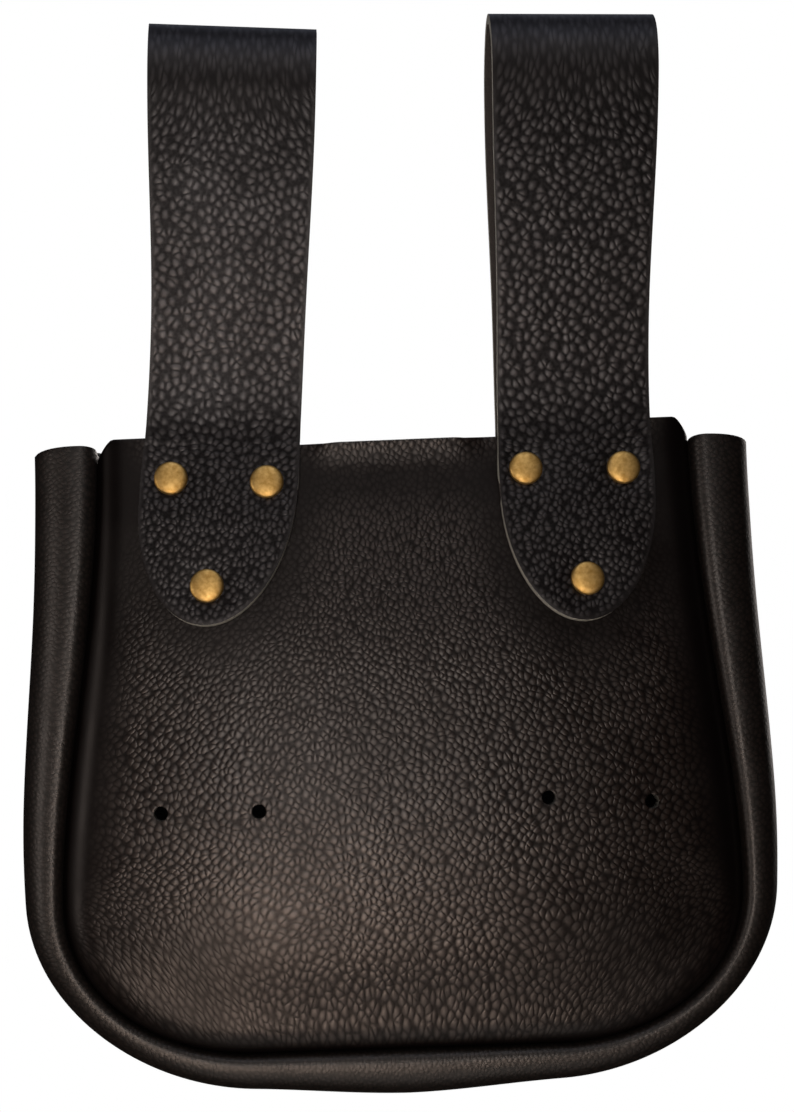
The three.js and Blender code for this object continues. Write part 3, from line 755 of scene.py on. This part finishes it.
def aged_brass():
    """Pressed brass with an antique finish: yellow and smoother where it is rubbed, brown and duller where it
    is stained."""
    material, tree, shader = new_material("antique_brass")
    place = add_node(tree, "ShaderNodeTexCoord", "Object", {})
    noise = add_node(tree, "ShaderNodeTexNoise", "Fac", {
        "Vector": place, "Scale": 1.0 / STAIN_SIZE, "Detail": STAIN_DETAIL,
    })
    rubbed = add_node(tree, "ShaderNodeMapRange", "Result", {
        "Value": noise, "From Min": STAIN_LOW, "From Max": STAIN_HIGH,
    })
    colour = add_node(tree, "ShaderNodeMix", "Result", {
        "Factor": rubbed, "A": linear("#ab8748"), "B": linear("#cba968"),
    }, data_type="RGBA")
    tree.links.new(colour, shader.inputs["Base Color"])
    shader.inputs["Metallic"].default_value = 1.0
    rough = add_node(tree, "ShaderNodeMapRange", "Result", {
        "Value": rubbed, "To Min": STAINED_ROUGHNESS, "To Max": RUBBED_ROUGHNESS,
    })
    tree.links.new(rough, shader.inputs["Roughness"])
    return material


brass = aged_brass()
outer_seat = 2.0 * CLEARANCE + STRAP_LEATHER
inner_seat = -PANEL_LEATHER - outer_seat
for rivet in RIVETS:
    spool = bmesh.new()
    cap = []
    for step in range(DOME_STEPS + 1):
        angle = math.pi / 2.0 * step / DOME_STEPS
        dome = (RIVET_CAP_HEIGHT - RIVET_CAP_RIM) * max(0.0, math.cos(angle)) ** RIVET_DOME_POWER
        cap.append((RIVET_CAP_RADIUS * math.sin(angle), RIVET_CAP_RIM + dome))
    cap.append((RIVET_CAP_RADIUS, RIVET_CAP_CHAMFER))
    cap.append((RIVET_CAP_RADIUS - RIVET_CAP_CHAMFER, 0.0))
    cap.append((RIVET_POST_RADIUS, 0.0))
    profile = [(radius, outer_seat + height) for radius, height in cap]
    profile += [(radius, inner_seat - height) for radius, height in reversed(cap)]
    corners = [spool.verts.new((radius, 0.0, height)) for radius, height in profile]
    edges = [spool.edges.new(pair) for pair in zip(corners, corners[1:])]
    bmesh.ops.spin(
        spool, geom=corners + edges, cent=(0.0, 0.0, 0.0), axis=(0.0, 0.0, 1.0), dvec=(0.0, 0.0, 0.0),
        angle=2.0 * math.pi, steps=RIVET_STEPS, use_merge=True,
    )
    bmesh.ops.remove_doubles(spool, verts=spool.verts, dist=TINY)
    bmesh.ops.recalc_face_normals(spool, faces=spool.faces)
    for face in spool.faces:
        face.smooth = True
    x, z = rivet["x"] * MM, rivet["z"] * MM
    base = beside_panel(x, z, 0.0)
    outward = (beside_panel(x, z, MM) - base).normalized()
    turn = outward.to_track_quat("Z", "Y").to_matrix().to_4x4()
    bmesh.ops.transform(spool, matrix=Matrix.Translation(base) @ turn, verts=spool.verts)
    mesh = bpy.data.meshes.new(rivet["node"] + "_brass")
    spool.to_mesh(mesh)
    spool.free()
    mesh.materials.append(brass)
    piece = bpy.data.objects.new(mesh.name, mesh)
    bpy.context.scene.collection.objects.link(piece)
    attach(piece, "root")
    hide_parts(rivet["node"])

# Front panel
# The panel away from the wearer, cut to the same outline from the same hide, without holes. It is turned
# round to the pouch's other side and sewn to the gusset's other edge.
front_sheet = grid_mesh(PANEL_COLUMNS, PANEL_ROWS, lambda column, row: panel_corner(column, row, False))
half_turn = Matrix.Translation((0.0, 2.0 * MIDDLE_Y, 0.0)) @ Matrix.Rotation(math.pi, 4, "Z")
bmesh.ops.transform(front_sheet, matrix=half_turn, verts=front_sheet.verts)
finish_leather("front_panel_leather", front_sheet, PANEL_LEATHER, PANEL_CUT_ROUNDING, NEIGHBOUR_SLOT,
               PANEL_FACES, "front_panel")

# Gusset
# One long strip of the hide, with a finer grain, sewn to both panels with turned seams. Beside each seam it
# rolls outwards, and from the crest of the roll it curves away into the side wall.
GUSSET_LEATHER = 1.8 * MM
SEAM_CLEARANCE = 0.05 * MM
# How wide the roll is and how high its crest stands by the run along the seam, in millimetres. The last row
# mirrors the one before the bottom's middle, so that the roll runs smoothly through the middle.
GUSSET_SECTIONS = (
    {"run": 0, "roll": 16.4, "crest": 5.2},
    {"run": 25, "roll": 15.8, "crest": 5.2},
    {"run": 55, "roll": 14.2, "crest": 5},
    {"run": 92, "roll": 11.9, "crest": 4.7},
    {"run": 116, "roll": 10.4, "crest": 4.4},
    {"run": 148, "roll": 9.3, "crest": 4.2},
    {"run": 181, "roll": 10.8, "crest": 4.4},
    {"run": 219, "roll": 13.1, "crest": 4.6},
    {"run": 257, "roll": 10.8, "crest": 4.4},
)
CREST_SHARE = 0.25
ROLL_FLATNESS = 0.75
WALL_DEPTH_SHARE = 0.45
WALL_BULGE = 0.4 * MM
GUSSET_TOP_RUN = 4.5 * MM
GUSSET_TOP_LEAN = 0.3
GUSSET_LEAN_RUN = 40.0 * MM
CORNER_RUN = math.pi / 4.0 * (CORNER_WIDTH + CORNER_HEIGHT)
BOTTOM_HALF_RUN = BELLY_HALF_WIDTH - CORNER_WIDTH
HALF_RUN = SIDE_RUN + CORNER_RUN + BOTTOM_HALF_RUN
FLANGE_STEPS = 2
ROLL_STEPS = 20
WALL_STEPS = 8
GUSSET_ROWS = 300


def seam_place(run):
    """A place on the right half of the seam, and the direction there that leads out of the pouch."""
    if run <= SIDE_RUN:
        z = MOUTH_Z - run
        widening = (side_half_width(z + MM) - side_half_width(z - MM)) / (2.0 * MM)
        return Vector((side_half_width(z), z)), Vector((1.0, -widening)).normalized()
    angle = min((run - SIDE_RUN) / CORNER_RUN, 1.0) * math.pi / 2.0
    out = Vector((math.cos(angle) / CORNER_WIDTH, -math.sin(angle) / CORNER_HEIGHT)).normalized()
    x = BOTTOM_HALF_RUN - max(0.0, run - SIDE_RUN - CORNER_RUN) + CORNER_WIDTH * math.cos(angle)
    return Vector((x, BELLY_Z - CORNER_HEIGHT * math.sin(angle))), out


def gusset_section(run, step):
    """One step of the section from the seam to the middle: a distance out from the seam and a depth."""
    depth = through(SEAM_DEPTHS, "run", "depth", run)
    wall_out = through(GUSSET_SECTIONS, "run", "roll", run) - WALL_BULGE
    crest_out = SEAM_CLEARANCE + CREST_SHARE * wall_out
    crest_depth = depth + through(GUSSET_SECTIONS, "run", "crest", run)
    wall_depth = WALL_DEPTH_SHARE * depth
    if step < FLANGE_STEPS:
        return SEAM_CLEARANCE, depth - FLANGE * (1.0 - step / FLANGE_STEPS)
    if step <= FLANGE_STEPS + ROLL_STEPS:
        angle = math.pi * (step - FLANGE_STEPS) / ROLL_STEPS
        foot_out, foot_depth = (SEAM_CLEARANCE, depth) if angle < math.pi / 2.0 else (wall_out, wall_depth)
        out = mix(crest_out, foot_out, abs(math.cos(angle)))
        return out, mix(foot_depth, crest_depth, math.sin(angle) ** ROLL_FLATNESS)
    share = (step - FLANGE_STEPS - ROLL_STEPS) / WALL_STEPS
    return wall_out + WALL_BULGE * smooth_step(share, 0.0, 1.0), wall_depth * (1.0 - share)


GUSSET_HALF_COLUMNS = FLANGE_STEPS + ROLL_STEPS + WALL_STEPS
GUSSET_COLUMNS = 2 * GUSSET_HALF_COLUMNS
GUSSET_GRAIN_ALONG = 1.15
GUSSET_GRAIN_ACROSS = 0.8


def gusset_run(row):
    """How far along the seam from the mouth a row of the gusset's grid lies."""
    return mix(HALF_RUN, GUSSET_TOP_RUN, abs(1.0 - 2.0 * row / GUSSET_ROWS))


def lengths_to_middle(run):
    """The length of the leather from each step of the section to the gusset's middle."""
    points = [Vector(gusset_section(run, step)) for step in range(GUSSET_HALF_COLUMNS + 1)]
    lengths = [0.0]
    for before, after in zip(reversed(points[1:]), reversed(points[:-1])):
        lengths.insert(0, lengths[0] + (after - before).length)
    return lengths


GUSSET_LENGTHS = [lengths_to_middle(gusset_run(row)) for row in range(GUSSET_ROWS + 1)]


def gusset_corner(column, row):
    """A place on the gusset's grid with its grain. Rows run down the right side, along the bottom and up the
    left side, and columns from the back seam to the front seam. Rolling has drawn the grain out across the
    strip and crowded it along the strip."""
    run = gusset_run(row)
    hand = 1.0 if row <= GUSSET_ROWS / 2 else -1.0
    face = -1.0 if column <= GUSSET_HALF_COLUMNS else 1.0
    step = min(column, GUSSET_COLUMNS - column)
    out, depth = gusset_section(run, step)
    seam, outward = seam_place(run)
    lean = GUSSET_TOP_LEAN * (1.0 - smooth_step(run, GUSSET_TOP_RUN, GUSSET_LEAN_RUN))
    lift = lean * max(depth - through(SEAM_DEPTHS, "run", "depth", run), -GUSSET_TOP_RUN / 2.0)
    spot = seam + outward * out
    place = Vector((hand * spot.x, MIDDLE_Y + face * depth, spot.y + lift))
    along = GUSSET_GRAIN_ALONG * hand * (HALF_RUN - run)
    flat = Vector((along, GUSSET_GRAIN_ACROSS * face * GUSSET_LENGTHS[row][step])) / MM
    return place, flat, 1.0


gusset_leather = pebbled_leather(
    "black_fine_milled_cowhide", cell=1.3, reach=0.78, relief=0.04, smooth_level=0.5, crease_gloss=0.42,
    top_colour="#16110f", crease_colour="#080706", painted_light_tint="#fffcf8", roughness=0.46,
)
GUSSET_FACES = [gusset_leather, leather_flesh, panel_edge]
gusset_sheet = grid_mesh(GUSSET_COLUMNS, GUSSET_ROWS, gusset_corner)
finish_leather("gusset_leather", gusset_sheet, GUSSET_LEATHER, PANEL_CUT_ROUNDING, NEIGHBOUR_SLOT,
               GUSSET_FACES, "gusset")

# Stage
# A plain pale floor under the hanging pouch, white all round for the camera, as in the photo, and soft studio
# light: a level key and a warm low key from the front, and fills from the sides, below, above and behind.
FLOOR_RADIUS = 1.5
FLOOR_DROP = 0.64
FLOOR_SEGMENTS = 64
FLOOR_ROUGHNESS = 0.9
FLOOR_GLOW = 0.95
AMBIENT_LIGHT = 0.005
SEEN_LIGHT = 1.0

floor_sheet = bmesh.new()
bmesh.ops.create_circle(floor_sheet, cap_ends=True, radius=FLOOR_RADIUS, segments=FLOOR_SEGMENTS)
bmesh.ops.translate(floor_sheet, verts=floor_sheet.verts, vec=(0.0, MIDDLE_Y, cad_box[0].z - FLOOR_DROP))
floor_mesh = bpy.data.meshes.new("floor")
floor_sheet.to_mesh(floor_mesh)
floor_sheet.free()
floor = bpy.data.objects.new("floor", floor_mesh)
bpy.context.scene.collection.objects.link(floor)
# The floor is evenly lit paper: its own glow keeps it pale in every view, and none of it falls on the pouch.
floor_material, _, floor_shader = new_material("white_paper")
floor_shader.inputs["Base Color"].default_value = linear("#f4f3f1")
floor_shader.inputs["Roughness"].default_value = FLOOR_ROUGHNESS
floor_shader.inputs["Emission Color"].default_value = linear("#ffffff")
floor_shader.inputs["Emission Strength"].default_value = FLOOR_GLOW
floor_material.cycles.emission_sampling = "NONE"
floor_mesh.materials.append(floor_material)
floor.visible_diffuse = False
floor.visible_glossy = False

world = bpy.data.worlds.new("studio")
world.use_nodes = True
bpy.context.scene.world = world
bpy.context.scene.view_settings.view_transform = "Standard"
surround = world.node_tree.nodes["Background"]
seen = add_node(world.node_tree, "ShaderNodeLightPath", "Is Camera Ray", {})
brightness = add_node(world.node_tree, "ShaderNodeMapRange", "Result", {
    "Value": seen, "To Min": AMBIENT_LIGHT, "To Max": SEEN_LIGHT,
})
world.node_tree.links.new(brightness, surround.inputs["Strength"])
surround.inputs["Color"].default_value = linear("#ffffff")

LIGHTS = (
    {"name": "level_key", "place": (-0.08, -0.9, -0.2), "aim": (0.0, 0.0, -0.15),
     "width": 0.15, "height": 0.6, "spread": 180, "power": 2.9, "colour": "#fff4ee"},
    {"name": "low_key", "place": (-0.12, -0.8, -0.6), "aim": (-0.04, 0.0, -0.19),
     "width": 0.15, "height": 0.4, "spread": 60, "power": 0.36, "colour": "#ffe4d2"},
    {"name": "bottom_fill", "place": (0.0, -0.35, -0.85), "aim": (0.0, 0.0, -0.23),
     "width": 0.5, "height": 0.5, "spread": 180, "power": 0.7, "colour": "#fff6f0"},
    {"name": "left_fill", "place": (-0.9, -0.4, -0.2), "aim": (-0.1, 0.0, -0.18),
     "width": 0.2, "height": 0.5, "spread": 180, "power": 2.0, "colour": "#fff0e8"},
    {"name": "right_fill", "place": (0.7, 0.8, 0.0), "aim": (0.05, 0.0, -0.15),
     "width": 0.3, "height": 0.6, "spread": 180, "power": 1.2, "colour": "#fff6f0"},
    {"name": "top_fill", "place": (0.0, -0.6, 0.6), "aim": (0.0, 0.0, -0.05),
     "width": 0.5, "height": 0.5, "spread": 180, "power": 1.2, "colour": "#fff6f2"},
    {"name": "high_fill", "place": (0.0, -0.3, 0.8), "aim": (0.0, 0.0, 0.0),
     "width": 0.7, "height": 0.5, "spread": 180, "power": 1.3, "colour": "#dfe6ff"},
    {"name": "fold_fill", "place": (0.0, 0.5, 0.7), "aim": (0.0, 0.0, 0.0),
     "width": 0.7, "height": 0.7, "spread": 180, "power": 0.5, "colour": "#dfe6ff"},
    {"name": "back_fill", "place": (0.1, 1.1, 0.0), "aim": (0.0, 0.0, -0.15),
     "width": 0.5, "height": 0.6, "spread": 180, "power": 8.0, "colour": "#fff6f0"},
)
for light in LIGHTS:
    lamp = bpy.data.lights.new(light["name"], "AREA")
    lamp.shape = "RECTANGLE"
    lamp.size = light["width"]
    lamp.size_y = light["height"]
    lamp.spread = math.radians(light["spread"])
    lamp.energy = light["power"]
    lamp.color = linear(light["colour"])[:3]
    holder = bpy.data.objects.new(light["name"], lamp)
    bpy.context.scene.collection.objects.link(holder)
    spot = Vector(light["place"])
    turn = (Vector(light["aim"]) - spot).to_track_quat("-Z", "Y")
    holder.matrix_world = Matrix.LocRotScale(spot, turn, None)

# Camera
# It faces the loop side a little from the left, level with the middle of the pouch, and is rolled a little,
# as in the photo. Its lens takes in VIEW_HEIGHT at CAMERA_DISTANCE.
CAMERA_DISTANCE = 0.55
CAMERA_AZIMUTH = math.radians(-3.2)
CAMERA_ROLL = math.radians(1.3)
CAMERA_AIM = Vector((-0.4, -5.0, -128.9)) * MM
VIEW_HEIGHT = 272.4 * MM
SENSOR_HEIGHT = 24.0

camera = bpy.data.objects.new("camera", bpy.data.cameras.new("camera"))
bpy.context.scene.collection.objects.link(camera)
camera.data.sensor_fit = "VERTICAL"
camera.data.sensor_height = SENSOR_HEIGHT
camera.data.sensor_width = SENSOR_HEIGHT
camera.data.lens = SENSOR_HEIGHT * CAMERA_DISTANCE / VIEW_HEIGHT
back = Vector((math.sin(CAMERA_AZIMUTH), -math.cos(CAMERA_AZIMUTH), 0.0))
turn = (-back).to_track_quat("-Z", "Y").to_matrix() @ Matrix.Rotation(-CAMERA_ROLL, 3, "Z")
camera.matrix_world = Matrix.LocRotScale(CAMERA_AIM + back * CAMERA_DISTANCE, turn, None)
bpy.context.scene.camera = camera
